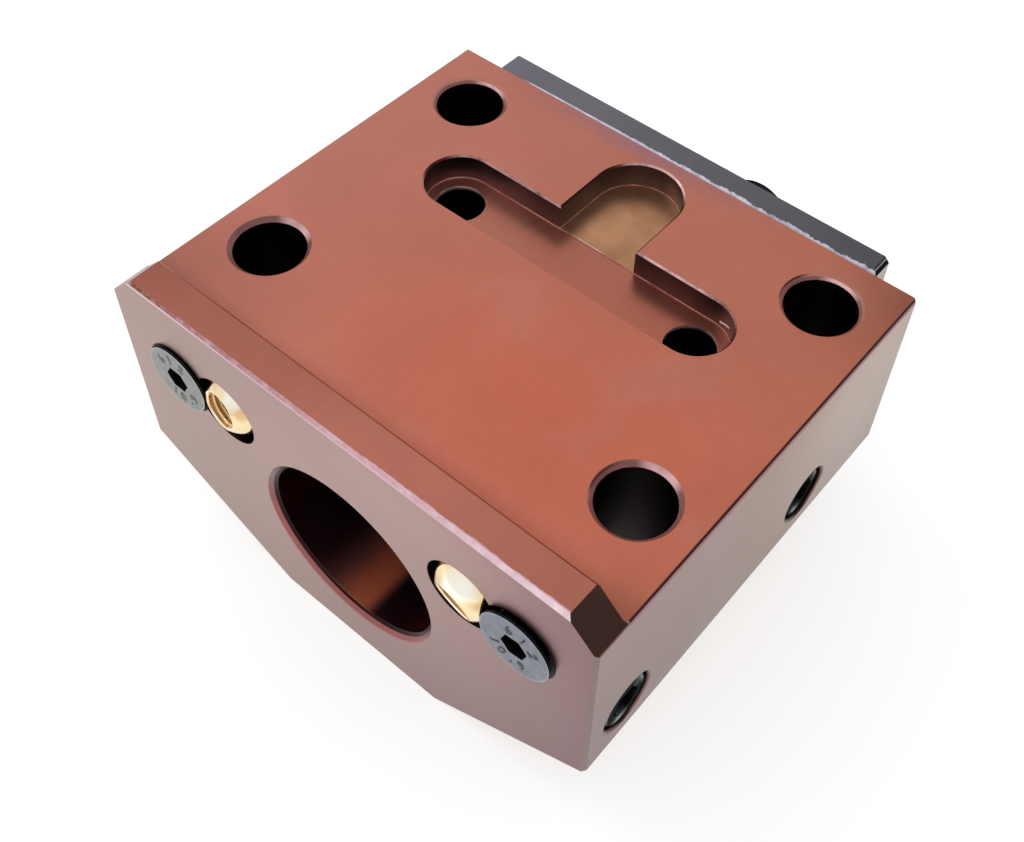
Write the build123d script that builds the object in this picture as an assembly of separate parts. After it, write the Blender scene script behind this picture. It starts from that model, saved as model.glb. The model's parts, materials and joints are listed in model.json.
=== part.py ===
from build123d import *
import os
from math import atan2, cos, degrees, hypot, pi, radians, sin

# Bolt-on turret block that holds a 32 mm boring bar, with two swivelling coolant nozzles in its front face.
# Datum: Z = 0 is the mounting face, X = Y = 0 the centre of the four bolt holes. The bar leaves along -Y.
# All sizes in millimetres.

# --- block envelope ---
WIDTH = 92.0
DEPTH = 78.0
BODY_HEIGHT = 51.0            # mounting face down to the foot
FOOT_WIDTH = 33.0             # flat underneath, between the two slanted undersides
FLANK_BOTTOM = 17.0           # height of each side wall's lower edge above the foot
LIP_HEIGHT = 5.0              # locating lip above the mounting face
LIP_DEPTH = 6.0
LIP_END_CHAMFER = 5.0
LIP_ROOT_RADIUS = 0.9
FLANK_EDGE_BREAK = 0.6        # hand-broken edge along each side of the mounting face
LIP_EDGE_BREAK = 0.6
LIP_BACK_BREAK = 0.25
CORNER_BREAK = 0.55           # upright corners at the front
REAR_BREAK = 0.4

# --- turret bolts ---
SIDE_TO_BOLTS = 10.5
FRONT_TO_BOLTS = 21.5
BOLTS_TO_REAR = 10.5
BOLT_HOLE_RADIUS = 5.75       # clears M10
BOLT_HOLE_CHAMFER = 0.75
BOLT_SEAT_RADIUS = 8.75       # counterbore from below for an M10 cap head
BOLT_SEAT_HEIGHT = 17.5       # seat above the foot, just under the clamp screw holes

# --- bar bore ---
BORE_RADIUS = 16.0
BORE_DROP = 26.0              # bore axis below the mounting face
BORE_MOUTH_CHAMFER = 1.2
BORE_REAR_CHAMFER = 0.4

# --- coolant pocket in the mounting face ---
POCKET_DEPTH = 4.8
CROSSBAR_STEP = 0.1           # the crossbar is milled a touch deeper than the stem
CROSSBAR_RADIUS = 6.0
CROSSBAR_SHORT = 0.1          # end-arc centres inside the socket axes
CROSSBAR_Y = 7.2
STEM_RADIUS = 7.5
STEM_X = 0.3
STEM_TO_REAR = 10.0           # end-arc centre to the rear face
POCKET_EDGE_BREAK = 0.3
FEED_RADIUS = 4.2
FEED_SETBACK = 0.25           # feed holes sit slightly in front of the crossbar's centre line
FEED_DEPTH = 14.0

# --- ball nozzles and their sockets ---
BALL_RADIUS = 6.0
SOCKET_CLEARANCE = 0.1
SOCKET_TO_RETAINER = 10.2     # close enough for the screw's rim to hold the ball
SOCKET_DROP = 10.3            # socket axis below the mounting face
BALL_SETBACK = {"left": 4.2, "right": 3.7}        # ball centre behind the front face
BALL_PITCH = {"left": -4.0, "right": 12.5}        # degrees the jet points down
BALL_YAW = {"left": -5.5, "right": -7.5}          # degrees the jet points to +X
BALL_FLAT = 4.9               # ball centre to the flat round the outlet
OUTLET_RADIUS = 3.0
OUTLET_DEPTH = 6.0
OUTLET_CHAMFER = 0.2
JET_RADIUS = 1.5              # channel through the back of the ball
PASSAGE_RADIUS = 3.0          # drilled from the socket back to the feed hole
BALL_SEAL_RING_RADIUS = 4.2
BALL_SEAL_SECTION = 0.9
TOUCH = 0.01                  # clearance left where two pieces touch

# --- countersunk screws that hold the balls ---
RETAINER_TO_SIDE = 12.4
RETAINER_DROP = 10.7
RETAINER_THREAD_RADIUS = 3.0
RETAINER_HEAD_RADIUS = 6.0
RETAINER_HEAD_RIM = 0.4
RETAINER_LENGTH = 12.0
RETAINER_HOLE_DEPTH = 13.0
RETAINER_PROUD = {"left": 0.6, "right": 1.0}      # head above the front face
RETAINER_TURN = {"left": 0.0, "right": 9.0}       # where each hexagon stopped, in degrees
RETAINER_HEX = 4.0
RETAINER_HEX_DEPTH = 2.6
COUNTERSINK_RADIUS = 6.35
THREAD_CLEARANCE = 0.02

# --- clamp screws in the right side wall ---
CLAMP_THREAD_RADIUS = 5.0
CLAMP_RUNNING_CLEARANCE = 0.03
CLAMP_TO_BOLT = {"front": 12.5, "rear": 13.0}     # ahead of the front and the rear bolts
CLAMP_MOUTH_CHAMFER = 0.4
CLAMP_LENGTH = 20.0
CLAMP_RECESS = {"front": 0.3, "rear": 0.5}        # outer end below the side wall
CLAMP_HEX = 5.0
CLAMP_HEX_DEPTH = 6.0
CLAMP_END_CHAMFER = 0.8
CLAMP_POINT_CHAMFER = 1.2

# --- back plate ---
PLATE_WIDTH = 76.0
PLATE_OFFSET = 0.5            # fitted slightly to the right of centre
PLATE_THICKNESS = 5.0
PLATE_INSET = 0.5             # plate outline above the foot and the slanted undersides
PLATE_FILED_EDGE = 1.5        # filed front edge at the right end, running out at the left
PLATE_END_BREAK = 0.9
PLATE_BREAK = 0.3
PLATE_SCREW_CIRCLE = 24.2     # about the bore axis
PLATE_SCREW_ANGLES = (54.9, 180.0, -41.0)
PLATE_SCREW_RADIUS = 2.5      # M5
PLATE_SCREW_CLEARANCE = 0.25
PLATE_SCREW_FLANGE_RADIUS = 5.9
PLATE_SCREW_FLANGE = 0.9
PLATE_SCREW_DOME_RADIUS = 4.6
PLATE_SCREW_DOME_TOP = 2.6
PLATE_SCREW_HEAD = 2.75
PLATE_SCREW_LENGTH = 12.0
PLATE_SCREW_HEX = 3.0
PLATE_SCREW_HEX_DEPTH = 1.6
PLATE_THREAD_DEPTH = 9.5
SEAL_GROOVE_INNER = 17.3
SEAL_GROOVE_WIDTH = 2.5
SEAL_GROOVE_DEPTH = 1.6
SEAL_SIDE_ROOM = 0.15

DRILL_POINT = 118.0           # degrees
OVERCUT = 1.0                 # cutters reach this far past a face

# --- derived positions ---
HALF_WIDTH = WIDTH / 2
HALF_FOOT = FOOT_WIDTH / 2
FOOT_Z = -BODY_HEIGHT
BOLT_X = HALF_WIDTH - SIDE_TO_BOLTS
BOLT_Y = (DEPTH - FRONT_TO_BOLTS - BOLTS_TO_REAR) / 2
FRONT_Y = -BOLT_Y - FRONT_TO_BOLTS
REAR_Y = BOLT_Y + BOLTS_TO_REAR
RETAINER_X = HALF_WIDTH - RETAINER_TO_SIDE
SOCKET_X = RETAINER_X - SOCKET_TO_RETAINER
CROSSBAR_HALF_LENGTH = SOCKET_X - CROSSBAR_SHORT
STEM_END_Y = REAR_Y - STEM_TO_REAR
CLAMP_Y = {"front": -BOLT_Y - CLAMP_TO_BOLT["front"], "rear": BOLT_Y - CLAMP_TO_BOLT["rear"]}
UNDERSIDE_SLOPE = FLANK_BOTTOM / (HALF_WIDTH - HALF_FOOT)
SOCKET_RADIUS = BALL_RADIUS + SOCKET_CLEARANCE
SIDE = {"left": -1, "right": 1}


def underside_z(x):
    """Height of the slanted underside at a distance x from the middle."""
    return FOOT_Z + (abs(x) - HALF_FOOT) * UNDERSIDE_SLOPE


def rod_y(x, z, radius, y_from, y_to):
    """Round bar along Y between two stations."""
    low, high = min(y_from, y_to), max(y_from, y_to)
    plane = Plane(origin=(x, low, z), x_dir=(1, 0, 0), z_dir=(0, 1, 0))
    return extrude(plane * Circle(radius), amount=high - low)


def turned_y(points, x, z):
    """Revolve a closed (radius, y) outline about the line parallel to Y through x, z."""
    axis_plane = Plane(origin=(x, 0, z), x_dir=(1, 0, 0), z_dir=(0, 0, 1))
    face = make_face(Polyline(*points, close=True))
    return revolve(axis_plane * face, Axis((x, 0, z), (0, 1, 0)))


def turned_z(points, x, y):
    """Revolve a closed (radius, z) outline about the upright line through x, y."""
    axis_plane = Plane(origin=(x, y, 0), x_dir=(1, 0, 0), z_dir=(0, -1, 0))
    face = make_face(Polyline(*points, close=True))
    return revolve(axis_plane * face, Axis((x, y, 0), (0, 0, 1)))


def turned_x(points, y, z):
    """Revolve a closed (x, radius) outline about the line parallel to X through y, z."""
    axis_plane = Plane(origin=(0, y, z), x_dir=(1, 0, 0), z_dir=(0, -1, 0))
    face = make_face(Polyline(*points, close=True))
    return revolve(axis_plane * face, Axis((0, y, z), (1, 0, 0)))


def hexagon(across_flats, turn=0.0):
    """Hexagon with its corners along the sketch's X, then turned."""
    return RegularPolygon(across_flats / 2 / cos(pi / 6), 6, rotation=turn)


def drill_tip(radius):
    """Length of a drill's cone."""
    return radius / (sin(radians(DRILL_POINT / 2)) / cos(radians(DRILL_POINT / 2)))


def block_blank():
    """Front outline with slanted undersides and chamfered lip, then milled down behind the lip."""
    outline = make_face(Polyline(
        (-HALF_FOOT, FOOT_Z),
        (HALF_FOOT, FOOT_Z),
        (HALF_WIDTH, FOOT_Z + FLANK_BOTTOM),
        (HALF_WIDTH, 0),
        (HALF_WIDTH - LIP_END_CHAMFER, LIP_HEIGHT),
        (-HALF_WIDTH + LIP_END_CHAMFER, LIP_HEIGHT),
        (-HALF_WIDTH, 0),
        (-HALF_WIDTH, FOOT_Z + FLANK_BOTTOM),
        close=True,
    ))
    front = Plane(origin=(0, FRONT_Y, 0), x_dir=(1, 0, 0), z_dir=(0, -1, 0))
    blank = extrude(front * outline, amount=-DEPTH)
    lip_back = FRONT_Y + LIP_DEPTH
    behind_lip = Pos(0, lip_back, 0) * Box(
        2 * WIDTH, 2 * DEPTH, 2 * LIP_HEIGHT, align=(Align.CENTER, Align.MIN, Align.MIN)
    )
    blank -= behind_lip
    root = [e for e in blank.edges().filter_by(Axis.X)
            if abs(e.center().Y - lip_back) < TOUCH and abs(e.center().Z) < TOUCH]
    return fillet(root, LIP_ROOT_RADIUS)


def break_block_edges(blank):
    """Hand-broken edges: sides of the mounting face, lip, upright corners and rear outline."""
    side_top = [e for e in blank.edges().filter_by(Axis.Y)
                if abs(abs(e.center().X) - HALF_WIDTH) < TOUCH and abs(e.center().Z) < TOUCH
                and e.length > DEPTH / 2]
    blank = chamfer(side_top, FLANK_EDGE_BREAK)
    lip_top = [e for e in blank.edges().filter_by(Axis.X)
               if abs(e.center().Y - FRONT_Y) < TOUCH and abs(e.center().Z - LIP_HEIGHT) < TOUCH]
    blank = chamfer(lip_top, LIP_EDGE_BREAK)
    lip_back = [e for e in blank.edges().filter_by(Axis.X)
                if abs(e.center().Y - FRONT_Y - LIP_DEPTH) < TOUCH and abs(e.center().Z - LIP_HEIGHT) < TOUCH]
    blank = chamfer(lip_back, LIP_BACK_BREAK)
    corners = [e for e in blank.edges().filter_by(Axis.Z)
               if abs(e.center().Y - FRONT_Y) < TOUCH and e.length > BODY_HEIGHT / 2]
    blank = chamfer(corners, CORNER_BREAK)
    rear = [e for e in blank.faces().sort_by(Axis.Y)[-1].edges() if e.center().Z < -CORNER_BREAK]
    return chamfer(rear, REAR_BREAK)


def pocket_cut():
    """T-shaped coolant pocket: a slot across and a round-ended stem running back."""
    crossbar = Pos(0, CROSSBAR_Y) * SlotCenterToCenter(2 * CROSSBAR_HALF_LENGTH, 2 * CROSSBAR_RADIUS)
    stem_run = STEM_END_Y - CROSSBAR_Y
    stem = Pos(STEM_X, CROSSBAR_Y + stem_run / 2) * Rectangle(2 * STEM_RADIUS, stem_run)
    stem += Pos(STEM_X, STEM_END_Y) * Circle(STEM_RADIUS)
    stem -= Pos(STEM_X, CROSSBAR_Y) * Rectangle(2 * STEM_RADIUS, 2 * CROSSBAR_RADIUS)
    deep = extrude(crossbar, amount=-(POCKET_DEPTH + CROSSBAR_STEP))
    shallow = extrude(crossbar + stem, amount=-POCKET_DEPTH)
    return deep + shallow


def bolt_cut(x, y):
    """Clearance hole from the mounting face, with its counterbore from below."""
    seat = FOOT_Z + BOLT_SEAT_HEIGHT
    return turned_z([
        (0, BOLT_HOLE_CHAMFER),
        (BOLT_HOLE_RADIUS + 2 * BOLT_HOLE_CHAMFER, BOLT_HOLE_CHAMFER),
        (BOLT_HOLE_RADIUS, -BOLT_HOLE_CHAMFER),
        (BOLT_HOLE_RADIUS, seat),
        (BOLT_SEAT_RADIUS, seat),
        (BOLT_SEAT_RADIUS, FOOT_Z - BOLT_HOLE_CHAMFER),
        (0, FOOT_Z - BOLT_HOLE_CHAMFER),
    ], x, y)


def bore_cut():
    """Bar bore right through, chamfered at both ends."""
    out = BORE_MOUTH_CHAMFER
    back = BORE_REAR_CHAMFER
    return turned_y([
        (0, FRONT_Y - out),
        (BORE_RADIUS + 2 * out, FRONT_Y - out),
        (BORE_RADIUS, FRONT_Y + out),
        (BORE_RADIUS, REAR_Y - back),
        (BORE_RADIUS + 2 * back, REAR_Y + back),
        (0, REAR_Y + back),
    ], 0, -BORE_DROP)


def seal_offset():
    """Distance from the ball centre back to the seal ring's plane, where the two just touch."""
    reach = BALL_RADIUS + BALL_SEAL_SECTION + TOUCH
    return (reach ** 2 - BALL_SEAL_RING_RADIUS ** 2) ** 0.5


def ball_y(side):
    return FRONT_Y + BALL_SETBACK[side]


def socket_floor(side):
    """The seal ring lies on this shoulder at the bottom of the socket."""
    return ball_y(side) + seal_offset() + BALL_SEAL_SECTION + TOUCH


def socket_cut(side):
    """Straight socket for the ball, then the passage back to the feed hole."""
    floor = socket_floor(side)
    feed_y = CROSSBAR_Y - FEED_SETBACK
    return turned_y([
        (0, FRONT_Y - TOUCH),
        (SOCKET_RADIUS, FRONT_Y - TOUCH),
        (SOCKET_RADIUS, floor),
        (PASSAGE_RADIUS, floor),
        (PASSAGE_RADIUS, feed_y),
        (0, feed_y + drill_tip(PASSAGE_RADIUS)),
    ], SIDE[side] * SOCKET_X, -SOCKET_DROP)


def feed_cut(side):
    """Drilled from the pocket floor down into the passage."""
    return turned_z([
        (0, 0),
        (FEED_RADIUS, 0),
        (FEED_RADIUS, -FEED_DEPTH),
        (0, -FEED_DEPTH - drill_tip(FEED_RADIUS)),
    ], SIDE[side] * CROSSBAR_HALF_LENGTH, CROSSBAR_Y - FEED_SETBACK)


def retainer_cut(side):
    """Countersunk threaded hole beside a socket."""
    taper = COUNTERSINK_RADIUS - RETAINER_THREAD_RADIUS
    end = FRONT_Y + RETAINER_HOLE_DEPTH
    return turned_y([
        (0, FRONT_Y - OVERCUT),
        (COUNTERSINK_RADIUS + OVERCUT, FRONT_Y - OVERCUT),
        (RETAINER_THREAD_RADIUS, FRONT_Y + taper),
        (RETAINER_THREAD_RADIUS, end),
        (0, end),
    ], SIDE[side] * RETAINER_X, -RETAINER_DROP)


def clamp_cut(place):
    """Threaded hole from the right side wall into the bore."""
    chamfer_out = CLAMP_MOUTH_CHAMFER
    return turned_x([
        (0, 0),
        (HALF_WIDTH + chamfer_out, 0),
        (HALF_WIDTH + chamfer_out, CLAMP_THREAD_RADIUS + 2 * chamfer_out),
        (HALF_WIDTH - chamfer_out, CLAMP_THREAD_RADIUS),
        (0, CLAMP_THREAD_RADIUS),
    ], CLAMP_Y[place], -BORE_DROP)


def plate_screw_centres():
    """X, Z of each plate screw on its circle about the bore axis."""
    return [
        (PLATE_SCREW_CIRCLE * cos(radians(a)), -BORE_DROP + PLATE_SCREW_CIRCLE * sin(radians(a)))
        for a in PLATE_SCREW_ANGLES
    ]


def tool_block():
    body = break_block_edges(block_blank())
    body -= pocket_cut()
    rim = [e for e in body.faces().filter_by(Axis.Z).sort_by(Axis.Z)[-2].inner_wires().edges()]
    body = chamfer(rim, POCKET_EDGE_BREAK)
    for x in (-BOLT_X, BOLT_X):
        for y in (-BOLT_Y, BOLT_Y):
            body -= bolt_cut(x, y)
    body -= bore_cut()
    for side in SIDE:
        body -= socket_cut(side)
        body -= feed_cut(side)
        body -= retainer_cut(side)
    for place in CLAMP_Y:
        body -= clamp_cut(place)
    for x, z in plate_screw_centres():
        body -= rod_y(x, z, PLATE_SCREW_RADIUS, REAR_Y - PLATE_THREAD_DEPTH, REAR_Y + TOUCH)
    return body


def plate_outline():
    """Plate follows the block's outline from just inside it."""
    left = PLATE_OFFSET - PLATE_WIDTH / 2
    right = PLATE_OFFSET + PLATE_WIDTH / 2
    return make_face(Polyline(
        (-HALF_FOOT, FOOT_Z + PLATE_INSET),
        (HALF_FOOT, FOOT_Z + PLATE_INSET),
        (right, underside_z(right) + PLATE_INSET),
        (right, 0),
        (left, 0),
        (left, underside_z(left) + PLATE_INSET),
        close=True,
    ))


def file_front_edge(plate):
    """Hand-filed bevel that widens from nothing at the left to its full size at the right."""
    left = PLATE_OFFSET - PLATE_WIDTH / 2
    start = Vector(left, REAR_Y, 0)
    on_top = Vector(left + PLATE_WIDTH, REAR_Y + PLATE_FILED_EDGE, 0)
    on_front = Vector(left + PLATE_WIDTH, REAR_Y, -PLATE_FILED_EDGE)
    normal = (on_top - start).cross(on_front - start)
    if normal.Z < 0:
        normal = normal * -1
    return split(plate, bisect_by=Plane(origin=start, z_dir=normal), keep=Keep.BOTTOM)


def back_plate():
    rear = Plane(origin=(0, REAR_Y, 0), x_dir=(1, 0, 0), z_dir=(0, -1, 0))
    plate = extrude(rear * plate_outline(), amount=-PLATE_THICKNESS)
    end_edge = [e for e in plate.edges().filter_by(Axis.Y)
                if abs(e.center().X - PLATE_OFFSET - PLATE_WIDTH / 2) < TOUCH and abs(e.center().Z) < TOUCH]
    plate = chamfer(end_edge, PLATE_END_BREAK)
    back_rim = plate.faces().sort_by(Axis.Y)[-1].edges()
    plate = chamfer(back_rim, PLATE_BREAK)
    plate = file_front_edge(plate)
    outer = SEAL_GROOVE_INNER + SEAL_GROOVE_WIDTH
    groove = rod_y(0, -BORE_DROP, outer, REAR_Y - TOUCH, REAR_Y + SEAL_GROOVE_DEPTH)
    groove -= rod_y(0, -BORE_DROP, SEAL_GROOVE_INNER, REAR_Y - TOUCH, REAR_Y + SEAL_GROOVE_DEPTH)
    plate -= groove
    for x, z in plate_screw_centres():
        plate -= rod_y(x, z, PLATE_SCREW_RADIUS + PLATE_SCREW_CLEARANCE, REAR_Y - OVERCUT,
                       REAR_Y + PLATE_THICKNESS + OVERCUT)
    return plate


def plate_seal():
    """Ring squeezed between the groove floor and the block."""
    ring_radius = SEAL_GROOVE_INNER + SEAL_GROOVE_WIDTH / 2
    half_thick = SEAL_GROOVE_DEPTH / 2 - TOUCH
    half_wide = SEAL_GROOVE_WIDTH / 2 - SEAL_SIDE_ROOM
    section = Plane(origin=(0, 0, -BORE_DROP), x_dir=(1, 0, 0), z_dir=(0, 0, 1)) * (
        Pos(ring_radius, REAR_Y + SEAL_GROOVE_DEPTH / 2) * Ellipse(half_wide, half_thick)
    )
    return revolve(section, Axis((0, 0, -BORE_DROP), (0, 1, 0)))


def plate_screw(x, z):
    """Flanged button screw, head against the back of the plate."""
    seat = REAR_Y + PLATE_THICKNESS
    screw = turned_y([
        (0, seat - PLATE_SCREW_LENGTH),
        (PLATE_SCREW_RADIUS - 2 * PLATE_SCREW_CLEARANCE, seat - PLATE_SCREW_LENGTH),
        (PLATE_SCREW_RADIUS - THREAD_CLEARANCE, seat - PLATE_SCREW_LENGTH + 2 * PLATE_SCREW_CLEARANCE),
        (PLATE_SCREW_RADIUS - THREAD_CLEARANCE, seat),
        (PLATE_SCREW_FLANGE_RADIUS, seat),
        (PLATE_SCREW_FLANGE_RADIUS, seat + PLATE_SCREW_FLANGE),
        (PLATE_SCREW_DOME_RADIUS, seat + PLATE_SCREW_FLANGE),
        (PLATE_SCREW_DOME_TOP, seat + PLATE_SCREW_HEAD),
        (0, seat + PLATE_SCREW_HEAD),
    ], x, z)
    top = Plane(origin=(x, seat + PLATE_SCREW_HEAD, z), x_dir=(1, 0, 0), z_dir=(0, 1, 0))
    return screw - extrude(top * hexagon(PLATE_SCREW_HEX), amount=-PLATE_SCREW_HEX_DEPTH)


def plate_screws():
    return Compound([plate_screw(x, z).solid() for x, z in plate_screw_centres()])


def aim(side):
    """Unit vector along a nozzle's jet."""
    pitch = radians(BALL_PITCH[side])
    yaw = radians(BALL_YAW[side])
    return Vector(sin(yaw) * cos(pitch), -cos(yaw) * cos(pitch), -sin(pitch))


def nozzle(side):
    """Turned ball: flat face, threaded outlet and a narrower channel through to the back."""
    outlet_floor = BALL_FLAT - OUTLET_DEPTH
    half = [
        (JET_RADIUS, outlet_floor),
        (OUTLET_RADIUS, outlet_floor),
        (OUTLET_RADIUS, BALL_FLAT - OUTLET_CHAMFER),
        (OUTLET_RADIUS + OUTLET_CHAMFER, BALL_FLAT),
    ]
    bore = half + [(OUTLET_RADIUS + OUTLET_CHAMFER, BALL_RADIUS), (0, BALL_RADIUS),
                   (0, -BALL_RADIUS), (JET_RADIUS, -BALL_RADIUS)]
    upright = Plane(origin=(0, 0, 0), x_dir=(1, 0, 0), z_dir=(0, -1, 0))
    cutter = revolve(upright * make_face(Polyline(*bore, close=True)), Axis.Z)
    above_flat = Pos(0, 0, BALL_FLAT) * Box(
        2 * BALL_RADIUS, 2 * BALL_RADIUS, BALL_RADIUS, align=(Align.CENTER, Align.CENTER, Align.MIN)
    )
    ball = Sphere(BALL_RADIUS) - above_flat - cutter
    place = Plane(origin=(SIDE[side] * SOCKET_X, ball_y(side), -SOCKET_DROP), z_dir=aim(side))
    return place * ball


def nozzle_seal(side):
    """Ring behind the ball, on the socket's shoulder."""
    centre_y = ball_y(side) + seal_offset()
    section = Pos(BALL_SEAL_RING_RADIUS, centre_y) * Circle(BALL_SEAL_SECTION)
    x = SIDE[side] * SOCKET_X
    plane = Plane(origin=(x, 0, -SOCKET_DROP), x_dir=(1, 0, 0), z_dir=(0, 0, 1))
    return revolve(plane * section, Axis((x, 0, -SOCKET_DROP), (0, 1, 0)))


def nozzle_screw(side):
    """Countersunk screw whose rim holds the ball in its socket."""
    face = FRONT_Y - RETAINER_PROUD[side]
    shank = RETAINER_THREAD_RADIUS - THREAD_CLEARANCE
    under_head = face + RETAINER_HEAD_RIM + RETAINER_HEAD_RADIUS - shank
    x = SIDE[side] * RETAINER_X
    screw = turned_y([
        (0, face),
        (RETAINER_HEAD_RADIUS, face),
        (RETAINER_HEAD_RADIUS, face + RETAINER_HEAD_RIM),
        (shank, under_head),
        (shank, face + RETAINER_LENGTH - THREAD_CLEARANCE),
        (0, face + RETAINER_LENGTH),
    ], x, -RETAINER_DROP)
    front = Plane(origin=(x, face, -RETAINER_DROP), x_dir=(1, 0, 0), z_dir=(0, -1, 0))
    hex_cut = extrude(front * hexagon(RETAINER_HEX, RETAINER_TURN[side]), amount=-RETAINER_HEX_DEPTH)
    return screw - hex_cut


def clamp_screw(place):
    """Socket set screw with a flat point, standing at the wall until a bar is fitted."""
    outer = HALF_WIDTH - CLAMP_RECESS[place]
    inner = outer - CLAMP_LENGTH
    radius = CLAMP_THREAD_RADIUS - CLAMP_RUNNING_CLEARANCE
    y = CLAMP_Y[place]
    screw = turned_x([
        (inner, 0),
        (inner, radius - CLAMP_POINT_CHAMFER),
        (inner + CLAMP_POINT_CHAMFER, radius),
        (outer - CLAMP_END_CHAMFER, radius),
        (outer, radius - CLAMP_END_CHAMFER),
        (outer, 0),
    ], y, -BORE_DROP)
    end = Plane(origin=(outer, y, -BORE_DROP), x_dir=(0, 1, 0), z_dir=(1, 0, 0))
    return screw - extrude(end * hexagon(CLAMP_HEX), amount=-CLAMP_HEX_DEPTH)


def main():
    os.makedirs("parts", exist_ok=True)
    pieces = {
        "tool_block": tool_block(),
        "back_plate": back_plate(),
        "plate_seal": plate_seal(),
        "plate_screws": plate_screws(),
    }
    for side in SIDE:
        pieces[f"nozzle_{side}"] = nozzle(side)
        pieces[f"nozzle_seal_{side}"] = nozzle_seal(side)
        pieces[f"nozzle_screw_{side}"] = nozzle_screw(side)
    for place in CLAMP_Y:
        pieces[f"clamp_screw_{place}"] = clamp_screw(place)
    for name, shape in pieces.items():
        export_step(shape, f"parts/{name}.step")


if __name__ == "__main__":
    main()
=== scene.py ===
"""Dresses the boring bar block: steel, brass and rubber finishes, threads, head marks, and a plain studio."""

import json
import math
from functools import partial, reduce
from typing import NamedTuple

import bmesh
import bpy
from mathutils import Matrix, Vector


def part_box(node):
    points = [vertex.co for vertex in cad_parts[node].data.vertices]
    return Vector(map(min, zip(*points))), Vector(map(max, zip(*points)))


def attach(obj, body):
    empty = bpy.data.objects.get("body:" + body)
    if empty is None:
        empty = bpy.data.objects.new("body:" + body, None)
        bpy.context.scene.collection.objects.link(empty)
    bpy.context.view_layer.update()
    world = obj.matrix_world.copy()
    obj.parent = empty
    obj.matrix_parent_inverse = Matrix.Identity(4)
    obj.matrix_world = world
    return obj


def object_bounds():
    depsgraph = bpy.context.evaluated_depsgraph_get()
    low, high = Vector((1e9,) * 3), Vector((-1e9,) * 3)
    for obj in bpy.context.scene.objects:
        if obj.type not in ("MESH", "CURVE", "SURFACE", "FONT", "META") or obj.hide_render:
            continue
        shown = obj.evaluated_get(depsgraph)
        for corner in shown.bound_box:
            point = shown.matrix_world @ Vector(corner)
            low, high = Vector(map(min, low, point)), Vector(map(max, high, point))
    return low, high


bl_info = {
    "name": "Boring bar block",
    "version": (1, 0, 0),
    "blender": (4, 5, 0),
    "location": "View3D > Sidebar > Tool block",
    "description": "Finishes and studio for a bolt-on boring bar block",
    "category": "Object",
}

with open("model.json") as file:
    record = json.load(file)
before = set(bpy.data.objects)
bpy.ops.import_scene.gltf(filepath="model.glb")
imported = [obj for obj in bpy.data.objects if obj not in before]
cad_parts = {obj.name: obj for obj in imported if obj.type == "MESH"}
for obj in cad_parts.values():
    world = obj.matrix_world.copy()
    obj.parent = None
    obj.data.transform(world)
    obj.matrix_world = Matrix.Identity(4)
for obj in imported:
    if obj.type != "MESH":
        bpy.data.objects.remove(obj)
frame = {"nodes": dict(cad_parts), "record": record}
CAD_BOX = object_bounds()
NODES = frame["nodes"]
JOINTS = {joint["name"]: joint for joint in frame["record"]["behaviour"]["joints"]}
MM = 0.001

BLOCK_LOW, BLOCK_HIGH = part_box("tool_block")
PLATE_LOW, PLATE_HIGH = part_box("back_plate")
SIDES = ("left", "right")
ROUND_STEPS = 48

# Axes of the holes in the body, from its origin in the mounting face
BORE_DROP = 26.0 * MM
BOLT_AT = (35.5 * MM, 23.0 * MM)
CLAMP_AT = (-35.5 * MM, 10.0 * MM)

CENTRE = (0, 0, 0)
UP = (0, 0, 1)
DOWN = (0, 0, -1)
FORWARD = (0, -1, 0)
BACKWARD = (0, 1, 0)
RIGHT = (1, 0, 0)

# How nearly a surface has to face a direction: where its mask starts and where it is full
SQUARE = (0.90, 0.98)
ALONG_BEVEL = (0.93, 0.98)
ROUGHLY = (0.8, 0.95)

# How weak a mask has to be to count as away from it
AWAY = (0.5, 0.1)


class Grain(NamedTuple):
    """A noise, the band of it that counts, and what that band runs between."""

    scale: float
    detail: float = 2.0
    roughness: float = 0.5
    band: tuple = (0.3, 0.7)
    result: tuple = (0.0, 1.0)
    stretch: tuple = (1.0, 1.0, 1.0)


class Patch(NamedTuple):
    """A soft round patch on a face: its centre and its reach in millimetres."""

    centre: tuple
    reach: tuple


class Run(NamedTuple):
    """A straight change between two places, given in millimetres, and what it runs between."""

    ends: tuple
    result: tuple = (0.0, 1.0)


class Corner(NamedTuple):
    """A corner of the top in painted shade, darkening between two places each way, and the light left there.
    """

    along_x: tuple
    along_y: tuple
    light: float


class Mark(NamedTuple):
    """Figures on a nozzle screw's head. Both angles are in degrees: from straight up, and between figures."""

    name: str
    figures: str
    side: str
    middle: float
    spread: float
    circle: int
    inward: bool


def tint(name, description, value):
    return bpy.props.FloatVectorProperty(
        name=name, description=description, default=value, size=3, min=0.0, max=1.0, subtype="COLOR"
    )


def measure(name, description, value):
    return bpy.props.FloatProperty(name=name, description=description, default=value, unit="LENGTH")


def position(name, description, value):
    return bpy.props.FloatVectorProperty(
        name=name, description=description, default=value, subtype="TRANSLATION", unit="LENGTH"
    )


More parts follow.
